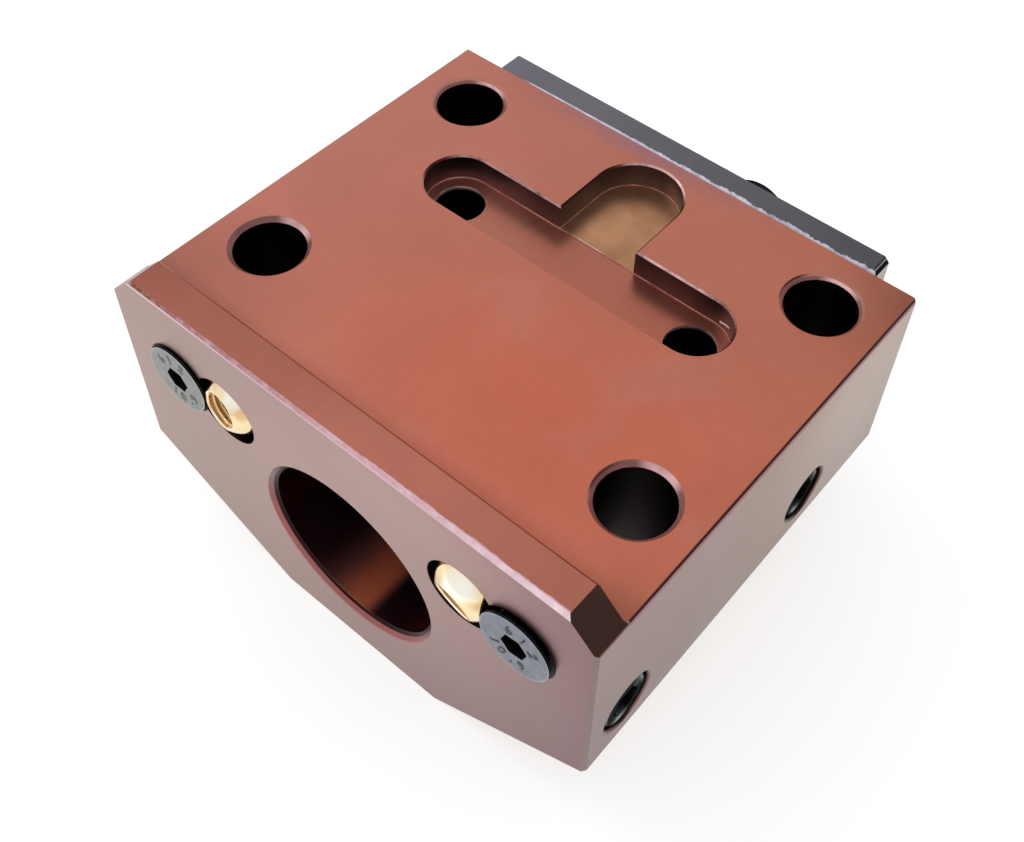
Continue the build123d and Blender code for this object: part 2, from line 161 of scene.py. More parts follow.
class BlockFinish(bpy.types.PropertyGroup):
    """Colours of the machined body. Each face has its own tint and changes slowly from end to end as painted
    shade, with a painted sheen in its middle.
    """

    # Top: the end colours carry painted shade, the middle colour is a painted sheen
    top_left: tint("Top, left", "Mounting face", (0.49, 0.18, 0.135))
    top_right: tint("Top, right", "Mounting face", (0.47, 0.155, 0.10))
    top_sheen: tint("Top, middle", "Mounting face", (0.53, 0.145, 0.09))
    top_cloud: tint("Top, clouds", "Paler clouds on the mounting face", (0.50, 0.20, 0.15))
    # Front and sides: the end colours carry painted shade, the middle colours are a painted sheen
    front_left: tint("Front, left", "Front face", (0.37, 0.25, 0.205))
    front_right: tint("Front, right", "Front face", (0.205, 0.095, 0.11))
    front_middle: tint("Front, middle", "Front face", (0.43, 0.27, 0.25))
    side_front: tint("Sides, front", "Side walls", (0.26, 0.165, 0.16))
    side_back: tint("Sides, back", "Side walls", (0.34, 0.20, 0.13))
    side_sheen: tint("Sides, middle", "Side walls", (0.42, 0.31, 0.26))
    lip: tint("Lip", "Top of the locating lip", (0.375, 0.132, 0.094))
    facet: tint("Lip ends", "Sloping ends of the lip", (0.26, 0.125, 0.100))
    seam: tint("Dark edges", "Edges of the pocket", (0.085, 0.022, 0.018))
    step_line: tint("Step line", "Top edge of the lip's back wall", (0.285, 0.066, 0.036))
    # Painted shade on the broken edges between top and sides
    flank: tint("Side edges", "Edges between top and side walls", (0.055, 0.010, 0.008))
    bevel: tint("Upright bevels", "Broken corners of the front", (0.24, 0.165, 0.150))
    # The worn and rubbed colours are partly bare metal and partly a painted highlight along the lip's front,
    # lilac and brighter to the right
    worn: tint("Worn edge", "Bright metal where the lip's edge is worn", (0.95, 0.74, 0.80))
    rubbed: tint("Rubbed edge, left", "Dull metal along the lip's edge", (0.41, 0.165, 0.175))
    rubbed_right: tint("Rubbed edge, right", "Lilac metal along the edge", (0.68, 0.41, 0.46))
    rim: tint("Hole rims", "Chamfers round the holes", (0.195, 0.062, 0.054))
    # Painted highlight on the rims of the bolt holes and the pocket
    rim_glint: tint("Rim glint", "Bright stretch of each rim", (0.85, 0.50, 0.50))
    mouth: tint("Bore mouth", "Chamfer round the bar bore", (0.32, 0.110, 0.110))
    # Bore: its dark wall is painted shade, its floor colours painted light
    bore: tint("Bore", "Wall of the bar bore", (0.080, 0.026, 0.036))
    bore_left: tint("Bore floor, left", "Reddish wall low in the bore", (0.22, 0.058, 0.040))
    bore_lit_floor: tint("Bore floor", "Brown wall along the bore's bottom", (0.34, 0.076, 0.032))
    # The pocket walls' dark colour is painted shade
    pocket: tint("Pocket walls", "Walls of the coolant pocket", (0.135, 0.110, 0.125))
    line: tint("Pocket line", "Bright line at the walls' foot", (0.80, 0.50, 0.42))
    nick: tint("Nick", "Bare metal in the nick at the pocket's right end", (0.9, 0.82, 0.80))
    stem: tint("Stem floor", "Floor of the pocket's stem", (0.56, 0.29, 0.155))
    stem_dark: tint("Stem floor, stained", "Browner blotches on it", (0.27, 0.125, 0.070))
    # Near black painted into holes and sockets as shade
    hole_shade: tint("Holes", "Inside sockets, bolt holes and countersinks", (0.022, 0.012, 0.010))
    heat: tint("Heat tint", "Violet band along the back edge", (0.27, 0.15, 0.19))
    roughness: bpy.props.FloatProperty(
        name="Roughness", description="Base roughness of the body", default=0.34, min=0.0, max=1.0
    )


class NozzleFinish(bpy.types.PropertyGroup):
    """Brass balls and the thread in their outlets."""

    brass: tint("Brass", "Polished brass", (0.97, 0.77, 0.46))
    # Bright and tan brass are a painted highlight and painted shade on the balls; the outlet colour is
    # painted shade at the thread's roots
    bright: tint("Bright brass", "Brightest polished patches", (1.0, 0.97, 0.88))
    tan: tint("Tan brass", "Patches that were polished less", (0.74, 0.47, 0.24))
    inside: tint("Outlet", "Stained brass deep in the outlet", (0.80, 0.38, 0.10))
    ball_radius: measure("Ball radius", "Radius of the brass ball", 6.0 * MM)
    outlet_radius: measure("Outlet radius", "Radius of the outlet's wall", 3.0 * MM)
    outlet_mouth: measure("Outlet mouth", "Ball centre to the thread's outer end", 4.6 * MM)
    thread_pitch: measure("Thread pitch", "Distance between two turns", 0.8 * MM)
    thread_depth: measure("Thread depth", "Height of the thread's ridge", 0.40 * MM)
    thread_turns: bpy.props.IntProperty(
        name="Thread turns", description="Turns of the thread", default=5, min=1
    )


class FastenerFinish(bpy.types.PropertyGroup):
    """Screws and the marks on their heads."""

    grey_left: tint("Grey steel, left", "Left countersunk screw", (0.285, 0.285, 0.270))
    grey_right: tint("Grey steel, right", "Right countersunk screw", (0.225, 0.235, 0.275))
    # The figures' dark colours are painted shade
    ink: tint("Marks", "Figures on the right screw's head", (0.09, 0.09, 0.10))
    faint_ink: tint("Faint marks", "Figures on the left screw's head", (0.17, 0.17, 0.16))
    black: tint("Black steel", "Plate screws and the set screws' sockets", (0.020, 0.021, 0.023))
    black_face: tint("Set screw face", "Outer ends of the set screws", (0.022, 0.026, 0.024))
    black_grazing: tint("Set screw edges", "Tint of light that grazes them", (0.34, 0.37, 0.36))
    plate_screw_grazing: tint("Plate screw edges", "Tint of light that grazes them", (0.1, 0.1, 0.1))
    # Painted glint colour on the set screws
    glint: tint("Glints", "Bright metal on the set screws' rims", (0.55, 0.57, 0.60))
    rubber: tint("Rubber", "Seals", (0.02, 0.02, 0.02))
    mark_size: measure("Mark size", "Size of the figures", 2.5 * MM)
    mark_relief: measure("Mark relief", "How far the figures stand out", 0.05 * MM)
    mark_circles: bpy.props.FloatVectorProperty(
        name="Mark circles", description="Inner and outer circle that the figures follow", size=2,
        default=(3.5 * MM, 3.95 * MM), unit="LENGTH"
    )


class PlateFinish(bpy.types.PropertyGroup):
    """Back plate."""

    left: tint("Plate, left", "Dark oxide at the left", (0.174, 0.160, 0.192))
    right: tint("Plate, right", "Dark oxide at the right", (0.088, 0.092, 0.099))
    end: tint("Plate end", "Lighter steel at the right end", (0.40, 0.34, 0.30))
    # The end bevel is painted black as shade; the filed colour also paints a highlight line on it
    edge: tint("Plate end edge", "Blackened bevel at that end", (0.012, 0.012, 0.012))
    filed: tint("Filed edge", "Bare steel where the edge was filed", (0.62, 0.60, 0.72))


class StudioSettings(bpy.types.PropertyGroup):
    """Floor, lamps and camera."""

    camera_place: position("Camera place", "Where the camera stands", (0.08496, -0.10677, 0.14558))
    camera_turn: bpy.props.FloatVectorProperty(
        name="Camera turn", description="Camera's rotation", subtype="EULER",
        default=(math.radians(40.7005), math.radians(-1.6632), math.radians(39.7359))
    )
    lens: bpy.props.FloatProperty(
        name="Lens", description="Focal length in millimetres", default=46.122, min=1.0
    )
    shift: bpy.props.FloatVectorProperty(
        name="Shift", description="Framing shift", default=(-0.0380, -0.0887), size=2
    )
    floor_size: measure("Floor size", "Width of the floor", 4.0)
    paper: tint("Paper", "Floor under the lamps' light", (0.36, 0.42, 0.46))
    paper_glow: tint("Paper white", "What the camera sees on top of it", (0.715, 0.672, 0.640))
    sky_strength: bpy.props.FloatProperty(
        name="Sky", description="Strength of the even light from all round", default=0.90, min=0.0
    )
    key_power: bpy.props.FloatProperty(
        name="Key lamp", description="Power of the large overhead lamp in watts", default=1.4, min=0.0
    )
    key_size: measure("Key lamp size", "Width of the overhead lamp", 0.5)
    key_place: position("Key lamp place", "Where the overhead lamp hangs", (-0.55, -0.10, 0.55))
    flag_size: measure("Flag size", "Width of the black card that metal reflects", 0.5)
    flag_place: position("Flag place", "Where the black card stands", (0.52, 0.24, 0.14))


GROUPS = {
    "block_finish": BlockFinish,
    "nozzle_finish": NozzleFinish,
    "fastener_finish": FastenerFinish,
    "plate_finish": PlateFinish,
    "studio": StudioSettings,
}


def settings(name):
    return getattr(bpy.context.scene, name)


# --- small node language ---


def new_node(tree, kind, inputs=(), **options):
    """A node with its options set, and each input set to a value or linked to a socket."""
    node = tree.nodes.new(f"ShaderNode{kind}")
    for key, value in options.items():
        setattr(node, key, value)
    for key, value in dict(inputs).items():
        feed(tree, node.inputs[key], value)
    return node


def feed(tree, socket, value):
    if isinstance(value, bpy.types.NodeSocket):
        tree.links.new(value, socket)
    else:
        socket.default_value = value


def new_material(name):
    material = bpy.data.materials.new(name)
    material.use_nodes = True
    return material


class Shader:
    """A material with short helpers for its nodes."""

    def __init__(self, name):
        self.material = new_material(name)
        self.tree = self.material.node_tree
        self.surface = self.tree.nodes["Principled BSDF"]
        self.place = self.node("TexCoord").outputs["Object"]
        self.normal = self.node("NewGeometry").outputs["Normal"]

    def node(self, kind, inputs=(), **options):
        return new_node(self.tree, kind, inputs, **options)

    # numbers and vectors

    def math(self, operation, first, second=0.0, clamp=False):
        return self.node("Math", {0: first, 1: second}, operation=operation, use_clamp=clamp).outputs[0]

    def vector(self, operation, first, second=(0.0, 0.0, 0.0)):
        node = self.node("VectorMath", {0: first, 1: second}, operation=operation)
        return node.outputs["Value" if operation in ("DOT_PRODUCT", "LENGTH") else "Vector"]

    def split(self, vector):
        return self.node("SeparateXYZ", {0: vector}).outputs

    def add(self, first, second, clamp=False):
        return self.math("ADD", first, second, clamp)

    def minus(self, first, second):
        return self.math("SUBTRACT", first, second)

    def size(self, value):
        """A number without its sign."""
        return self.math("ABSOLUTE", value)

    def length(self, first, second):
        """Length of a line with these two sides."""
        squares = [self.math("MULTIPLY", side, side) for side in (first, second)]
        return self.math("SQRT", self.add(*squares))

    # masks, which run from 0 to 1

    def step(self, value, low, high):
        """0 below low, 1 above high, smooth between."""
        return self.ramp(value, low, high, change="SMOOTHSTEP")

    def edge(self, value, ends, start=0.0):
        """0 at the first of two ends and 1 at the second, both in millimetres from a start."""
        return self.step(value, start + ends[0] * MM, start + ends[1] * MM)

    def near(self, value, target, ends):
        """0 at one distance from a target, in millimetres, and 1 at a smaller one."""
        return self.edge(self.size(self.minus(value, target * MM)), ends)

    def away(self, mask):
        """1 well away from a mask."""
        return self.step(mask, *AWAY)

    def facing(self, direction, nearness):
        """1 where the surface looks along a direction, 0 where it looks away."""
        return self.step(self.vector("DOT_PRODUCT", self.normal, Vector(direction).normalized()), *nearness)

    def both(self, *masks):
        """1 only where every mask is 1."""
        return reduce(partial(self.math, "MULTIPLY"), masks)

    def any(self, *masks):
        """1 where some mask is 1."""
        return reduce(partial(self.math, "MAXIMUM"), masks)

    def spot(self, first, second, patch):
        """1 at a patch's centre, falling smoothly to 0 at its reach."""
        shares = [
            self.math("DIVIDE", self.minus(value, centre * MM), reach * MM)
            for value, centre, reach in zip((first, second), patch.centre, patch.reach)
        ]
        return self.step(self.length(*shares), 1.0, 0.0)

    # values that run along something

    def ramp(self, value, low, high, out_low=0.0, out_high=1.0, change="LINEAR"):
        """Change from out_low at low to out_high at high, and level beyond."""
        ends = {"Value": value, "From Min": low, "From Max": high, "To Min": out_low, "To Max": out_high}
        return self.node("MapRange", ends, interpolation_type=change).outputs["Result"]

    def run(self, value, run):
        """A run's straight change."""
        low, high = (end * MM for end in run.ends)
        return self.ramp(value, low, high, *run.result)

    def noise(self, grain):
        place = self.node("Mapping", {"Vector": self.place, "Scale": grain.stretch}).outputs[0]
        inputs = {"Vector": place, "Scale": grain.scale, "Detail": grain.detail, "Roughness": grain.roughness}
        return self.node("TexNoise", inputs).outputs["Fac"]

    def level(self, noise, grain):
        """A grain's noise, brought from its band to its result."""
        return self.ramp(noise, *grain.band, *grain.result)

    def grain(self, grain):
        return self.level(self.noise(grain), grain)

    # colours

    def mix_value(self, factor, first, second):
        return self.node("Mix", {"Factor": factor, 2: first, 3: second}).outputs[0]

    def mix(self, factor, first, second):
        """First colour where factor is 0, second where it is 1."""
        first, second = (
            value if isinstance(value, bpy.types.NodeSocket) else (*value, 1.0) for value in (first, second)
        )
        return self.node("Mix", {"Factor": factor, 6: first, 7: second}, data_type="RGBA").outputs[2]

    def shade(self, colour, factor):
        """Colour multiplied by a number."""
        return self.node("VectorMath", {0: colour, "Scale": factor}, operation="SCALE").outputs["Vector"]

    def shade_where(self, mask, colour, factor):
        """Colour multiplied by a number inside a mask."""
        return self.shade(colour, self.ramp(mask, 0.0, 1.0, 1.0, factor))

    def face_colour(self, across, start, end, spot, middle):
        """A face's two end colours, blended as painted shade, with its middle colour in a soft spot as a
        painted sheen.
        """
        return self.mix(spot, self.mix(across, start, end), middle)

    def bump(self, height, strength, distance):
        node = self.node("Bump", {"Height": height, "Strength": strength, "Distance": distance})
        feed(self.tree, self.surface.inputs["Normal"], node.outputs[0])

    def finish(self, colour, metallic, roughness):
        for key, value in (("Base Color", colour), ("Metallic", metallic), ("Roughness", roughness)):
            feed(self.tree, self.surface.inputs[key], value)
        return self.material


def dress(node, material):
    """Gives a CAD node its finish."""
    slots = NODES[node].data.materials
    slots.clear()
    slots.append(material)


# --- body ---

# Pairs are places in millimetres, where a mask is 0 and where it is 1. Those named TURNED say how nearly
# a surface has to face a direction. A LIGHT is what the colour is multiplied by.

# Painted sheen on the front and sides, a painted highlight high on the front, and painted shade towards the
# bottom of the sides
FRONT_SHEEN = Patch((-1.4, -9.4), (66.0, 50.0))
FRONT_HIGHLIGHT = Patch((22.0, 3.0), (30.0, 14.0))
FRONT_HIGHLIGHT_STRENGTH = 1.20
SIDE_SHEEN = Patch((22.5, -19.0), (35.0, 36.0))
SIDE_LIGHT = Run((0.0, -34.0), (1.10, 0.82))

# Painted sheen in the middle of the top
TOP_SHEEN = Patch((18.0, -20.0), (60.0, 36.0))
TOP_CLOUDS = Grain(55.0, 2.0, 0.45, band=(0.52, 0.68))
CLOUD_SHARE = 0.35
# Painted shade in three corners of the top, and painted shadow on the strip behind the lip
BACK_RIGHT = Corner((30.0, 47.0), (10.0, 36.0), 0.58)
FRONT_LEFT = Corner((-8.0, -46.0), (-16.0, -36.0), 0.66)
FRONT_RIGHT = Corner((36.0, 46.0), (-28.0, -37.0), 0.86)
BEHIND_LIP = (-33.0, -38.5)
BEHIND_LIP_LIGHT = 0.72
HEAT_START = (28.5, 33.0)
HEAT_PATCH = Patch((-6.0, 33.0), (34.0, 30.0))
HEAT_SHARE = 0.55

LIP_TOP = (4.7, 4.85)
# Painted shade along the lip's top: darkest at the left end, lightest right of the middle
LIP_LIGHT_LEFT = Run((-40.0, 16.0), (0.70, 1.18))
LIP_LIGHT_RIGHT = Run((20.0, 46.0), (1.0, 0.85))
# Band along the lip's front: partly rubbed metal, partly a painted highlight that turns lilac to the right
BAND_REACH = Run((-34.0, 14.0), (-44.40 * MM, -43.68 * MM))
BAND_RAGGED = Grain(420.0, 3.0, 0.7, result=(-0.12 * MM, 0.12 * MM))
BAND_FADE = (0.06, -0.12)
BAND_TURNS_LILAC = Run((-30.0, 0.0))
STEP_LINE = (-38.95, -38.7)

POCKET_FLOOR = (-4.0, -4.4)
# Painted shade on the pocket's floor
POCKET_FLOOR_LIGHT = 0.87
STEM_START = (13.35, 13.45)
STEM_BLOTCHES = Grain(110.0, 3.0, 0.5, (0.30, 0.66), (0.25, 1.0))
FLOOR_STEP = 13.4
FLOOR_STEP_WIDTH = (0.13, 0.09)
FLOOR_STEP_BREAKS = Grain(260.0, 3.0, 0.6, (0.42, 0.58), (0.0, 0.8))
# Painted shade on the pocket walls, darker near the top
POCKET_DEPTH = Run((-1.0, -4.5), (0.55, 1.1))
POCKET_STREAKS = Grain(130.0, 2.0, 0.5, (0.35, 0.65), (0.80, 1.25), (1.0, 1.0, 0.2))
FOOT_LINE = (-4.64, -4.70)
FOOT_LINE_BREAKS = Grain(420.0, 2.0, 0.5, (0.35, 0.6), (0.45, 1.0))
NICK_LEFT = (24.2, 24.4)
NICK_RIGHT = (26.6, 26.4)
NICK_SLOPE = 0.42
NICK_SLOPE_START = 24.5 * MM
NICK_HEIGHT = -3.84
NICK_WIDTH = (0.22, 0.12)
NICK_WALL = (11.0, 12.0)
NICK_END = Patch((24.5, -3.75), (0.42, 0.42))

POCKET_REACH = (31.0, 30.0)
RIM_LOW = (-0.33, -0.28)
RIM_HIGH = (0.10, 0.05)
# Painted highlight on the pocket's back edges, broken and fading at both ends
TURNED_FORWARD = (0.25, 0.55)
TURNED_BACK = (0.2, 0.5)
RIM_BREAKS = Grain(300.0, 3.0, 0.6, (0.35, 0.55), (0.35, 1.0))
RIM_FADES_LEFT = Run((-16.0, 6.0), (0.45, 0.88))
RIM_FADES_RIGHT = Run((20.0, 24.0), (1.0, 0.25))

BOLT_REACH = (7.4, 7.2)
BOLT_RIM_LOW = (-0.85, -0.70)
BACK_BOLTS = (-1.0, 1.0)
BOLT_RIM_FRONT = 6.48 * MM
BOLT_RIM_BACK = 6.14 * MM
BOLT_RIM_SOFT = (-0.03, 0.03)
# Painted pink highlight on the bolt holes' rims
BOLT_GLINT = ((-0.02, -1.0, 0), (0.54, 0.70))
BOLT_GLINT_BREAKS = Grain(260.0, 2.0, 0.5, (0.3, 0.6), (0.45, 0.9))
ROUND_BOLT_LIGHT = 0.92

BORE_REACH = (18.0, 17.8)
OUTSIDE_BORE = (17.0, 17.2)
TURNED_DOWN = (0.3, 0.5)
MOUTH_OUTER_RING = (16.98, 17.08)
MOUTH_OUTER_LIGHT = 1.22
MOUTH_INNER_RING = (16.40, 16.48)
BORE_WALL = (16.0, 16.1)
MOUTH_REDDENS = (-17.0, -30.0)
# Painted light along the bore's floor
GLOW_TURNS_BROWN = (-7.0, -1.0)
GLOW_LEFT = (-10.5, -1.2)
GLOW_RIGHT = (3.4, 0.4)
GLOW_HEIGHT = (-36.0, -38.0)

REAR_CLAMP = (-13.0, -12.0)
CLAMP_REACH = (5.5, 5.4)
CLAMP_WALL = (40.0, 41.0)
CLAMP_RING = (5.14, 5.20)
CLAMP_RING_LIGHT = 1.02

TOP_HEIGHT = (-5.8, -5.2)
HOLE_DEPTH = (-6.0, -5.0)
LIP_HEIGHT = (-0.1, 0.1)
FRONT_SKIN = (0.10, 0.05)
SIDE_SKIN = (-0.10, -0.05)
BACK_SKIN = (30.0, 31.0)
CORNER_WIDTH = (45.2, 45.3)
CORNER_DEPTH = (1.2, 1.0)
FLANK_WIDTH = (45.3, 45.35)
# Painted shade as a dark line on the side edges, then a painted highlight below it
FLANK_DARK_LINE = (-0.42, -0.38)
FLANK_TOP_LINE = (-0.12, -0.08)
FLANK_MATTE_LOW = (-0.62, -0.58)
FLANK_MATTE_HIGH = (0.2, 0.1)
FLANK_LIGHT = 1.7

EDGE_HEIGHT = (4.0, 4.3)
EDGE_CHIPS = Grain(700.0, 3.0, 0.7, result=(-0.30, 0.30))
# Lip's front edge: partly worn metal, partly a painted highlight that grows towards the right
EDGE_WEAR = Run((10.0, 42.0), (0.10, 0.85))
EDGE_LOW_LINE = (4.62, 4.52)
EDGE_LOW_LINE_WEAR = Run((-40.0, 0.0), (0.85, 0.35))
EDGE_TURNS_LILAC = Run((-30.0, 10.0))
EDGE_RUBBED = (-37.0, -31.0)
EDGE_UNRUBBED_LIGHT = 0.68
LIP_BACK_HEIGHT = (4.5, 4.7)

BODY_PATCHES = Grain(38.0, 3.0, 0.55, result=(0.95, 1.05))
BODY_GRAIN = Grain(900.0, 2.0, 0.6, result=(0.98, 1.02), stretch=(1.0, 0.25, 1.0))
ROUGHNESS_SPREAD = 0.03
MATTE_WALL_DEPTH = (-0.4, -0.6)
MATTE_WALL_START = (-10.0, -8.0)


def wall_colour(shader, look, x, y, z, sideways):
    """Front, side, rear and lower faces: painted shade from end to end, a painted sheen in the middle of
    each, a painted highlight high on the front, and painted shade low on the sides.
    """
    front = shader.face_colour(
        shader.ramp(x, BLOCK_LOW.x, BLOCK_HIGH.x), look.front_left, look.front_right,
        shader.spot(x, z, FRONT_SHEEN), look.front_middle
    )
    front = shader.shade_where(shader.spot(x, z, FRONT_HIGHLIGHT), front, FRONT_HIGHLIGHT_STRENGTH)
    side = shader.face_colour(
        shader.ramp(y, BLOCK_LOW.y, BLOCK_HIGH.y), look.side_front, look.side_back,
        shader.spot(y, z, SIDE_SHEEN), look.side_sheen
    )
    return shader.mix(sideways, front, shader.shade(side, shader.run(z, SIDE_LIGHT)))


def face_top_colour(shader, look, x, y):
    """Mounting face, clouded, with a painted sheen in its middle, painted shade in three corners and along
    the lip, violet at the back.
    """
    top = shader.face_colour(
        shader.ramp(x, BLOCK_LOW.x, BLOCK_HIGH.x), look.top_left, look.top_right,
        shader.spot(x, y, TOP_SHEEN), look.top_sheen
    )
    pale = shader.mix(CLOUD_SHARE, top, look.top_cloud)
    top = shader.mix(shader.step(shader.noise(TOP_CLOUDS), *TOP_CLOUDS.band), top, pale)
    # painted shade in the corners, then the lip's painted shadow
    for corner in (BACK_RIGHT, FRONT_LEFT, FRONT_RIGHT):
        dark = shader.both(shader.edge(x, corner.along_x), shader.edge(y, corner.along_y))
        top = shader.shade_where(dark, top, corner.light)
    top = shader.shade_where(shader.edge(y, BEHIND_LIP), top, BEHIND_LIP_LIGHT)
    violet = shader.both(shader.edge(y, HEAT_START), shader.spot(x, y, HEAT_PATCH), HEAT_SHARE)
    return shader.mix(violet, top, look.heat)


def lip_top_colour(shader, look, x, y):
    """Top of the lip, in painted shade that lightens from the left end to right of the middle, with a band
    along its front that is partly rubbed metal and partly a painted highlight, and dark along its back.
    """
    light = shader.both(shader.run(x, LIP_LIGHT_LEFT), shader.run(x, LIP_LIGHT_RIGHT))
    reach = shader.add(shader.run(x, BAND_REACH), shader.grain(BAND_RAGGED))
    band = shader.edge(shader.minus(y, reach), BAND_FADE)
    bare = shader.mix(shader.run(x, BAND_TURNS_LILAC), look.rubbed, look.rubbed_right)
    lip = shader.mix(band, shader.shade(look.lip, light), bare)
    return shader.mix(shader.edge(y, STEP_LINE), lip, look.step_line)


def top_colour(shader, look, x, y, z):
    """Everything that faces up: mounting face, lip, and the pocket's two floors with a line between them; the
    floor outside the stem is darkened as painted shade.
    """
    top = shader.mix(
        shader.edge(z, LIP_TOP), face_top_colour(shader, look, x, y), lip_top_colour(shader, look, x, y)
    )
    floor = shader.edge(z, POCKET_FLOOR)
    top = shader.shade_where(floor, top, POCKET_FLOOR_LIGHT)
    stem = shader.mix(shader.grain(STEM_BLOTCHES), look.stem_dark, look.stem)
    top = shader.mix(shader.both(floor, shader.edge(y, STEM_START)), top, stem)
    line = shader.both(floor, shader.near(y, FLOOR_STEP, FLOOR_STEP_WIDTH), shader.grain(FLOOR_STEP_BREAKS))
    return shader.mix(line, top, look.line)


def pocket_colour(shader, look, x, y, z):
    """Walls in painted shade, darker near the top, with a bright line at their foot and a small nick at the
    right end, and where both are.
    """
    light = shader.both(shader.run(z, POCKET_DEPTH), shader.grain(POCKET_STREAKS))
    line = shader.both(shader.edge(z, FOOT_LINE), shader.grain(FOOT_LINE_BREAKS))
    wall = shader.mix(line, shader.shade(look.pocket, light), look.line)
    rise = shader.math("MULTIPLY", shader.minus(x, NICK_SLOPE_START), NICK_SLOPE)
    nick = shader.both(
        shader.edge(x, NICK_LEFT), shader.edge(x, NICK_RIGHT),
        shader.near(shader.minus(z, rise), NICK_HEIGHT, NICK_WIDTH)
    )
    bright = shader.both(shader.any(nick, shader.spot(x, z, NICK_END)), shader.edge(y, NICK_WALL))
    return shader.mix(bright, wall, look.nick), shader.any(bright, line)


def pocket_rim_colour(shader, look, x, top):
    """Chamfer round the pocket: a painted highlight on the back edges, plain on the front ones, and where it
    is plain.
    """
    glint = shader.both(
        shader.facing(FORWARD, TURNED_FORWARD), shader.grain(RIM_BREAKS),
        shader.run(x, RIM_FADES_LEFT), shader.run(x, RIM_FADES_RIGHT)
    )
    plain = shader.facing(BACKWARD, TURNED_BACK)
    return shader.mix(plain, shader.mix(glint, look.seam, look.rim_glint), top), plain


def bolt_rim_colour(shader, look, y, from_bolt, top):
    """Chamfers of the bolt holes, with a painted pink highlight on the back side. The rear holes show a
    narrower ring.
    """
    glint = shader.both(shader.facing(*BOLT_GLINT), shader.grain(BOLT_GLINT_BREAKS))
    ring = shader.mix(glint, look.rim, look.rim_glint)
    radius = shader.mix_value(shader.edge(y, BACK_BOLTS), BOLT_RIM_FRONT, BOLT_RIM_BACK)
    outside = shader.edge(shader.minus(from_bolt, radius), BOLT_RIM_SOFT)
    return shader.mix(outside, ring, shader.shade(top, ROUND_BOLT_LIGHT))


def bore_colour(shader, look, x, z, from_bore, wall):
    """Bore in painted shade, with painted light along its floor and a red ring at its mouth, between a dark
    inner ring of painted shade and the wall's colour.
    """
    ring = shader.mix(shader.edge(z, MOUTH_REDDENS), look.bevel, look.mouth)
    ring = shader.mix(shader.edge(from_bore, MOUTH_OUTER_RING), ring, shader.shade(wall, MOUTH_OUTER_LIGHT))
    ring = shader.mix(shader.edge(from_bore, MOUTH_INNER_RING), look.hole_shade, ring)
    glow = shader.mix(shader.edge(x, GLOW_TURNS_BROWN), look.bore_left, look.bore_lit_floor)
    inside = shader.mix(bore_floor(shader, x, z), look.bore, glow)
    return shader.mix(shader.edge(from_bore, BORE_WALL), inside, ring)


def bore_floor(shader, x, z):
    """Lowest strip of the bore, which catches the light and is painted lit: soft to the left, sharp to the
    right.
    """
    return shader.both(shader.edge(x, GLOW_LEFT), shader.edge(x, GLOW_RIGHT), shader.edge(z, GLOW_HEIGHT))


def from_clamp_axis(shader, y):
    """How far towards the back of the nearest set screw's axis."""
    return shader.minus(y, shader.mix_value(shader.edge(y, REAR_CLAMP), *CLAMP_AT))


def flank_colour(shader, look, z, wall, top):
    """Broken edge between top and side walls: the top's colour, a dark line of painted shade, then the
    wall's, lighter as a painted highlight.
    """
    edge = shader.mix(shader.edge(z, FLANK_DARK_LINE), shader.shade(wall, FLANK_LIGHT), look.flank)
    return shader.mix(shader.edge(z, FLANK_TOP_LINE), edge, top)


def lip_edge_colour(shader, look, x, z):
    """Sloping front edge of the lip, partly worn metal and partly a painted highlight: darker at the far
    left, lilac to the right, bare where it is worn.
    """
    wear = shader.add(shader.run(x, EDGE_WEAR), shader.grain(EDGE_CHIPS), clamp=True)
    low_line = shader.both(shader.edge(z, EDGE_LOW_LINE), shader.run(x, EDGE_LOW_LINE_WEAR))
    edge = shader.mix(shader.run(x, EDGE_TURNS_LILAC), look.rubbed, look.rubbed_right)
    edge = shader.mix(shader.edge(x, EDGE_RUBBED), shader.shade(look.lip, EDGE_UNRUBBED_LIGHT), edge)
    return shader.mix(shader.any(wear, low_line), edge, look.worn)


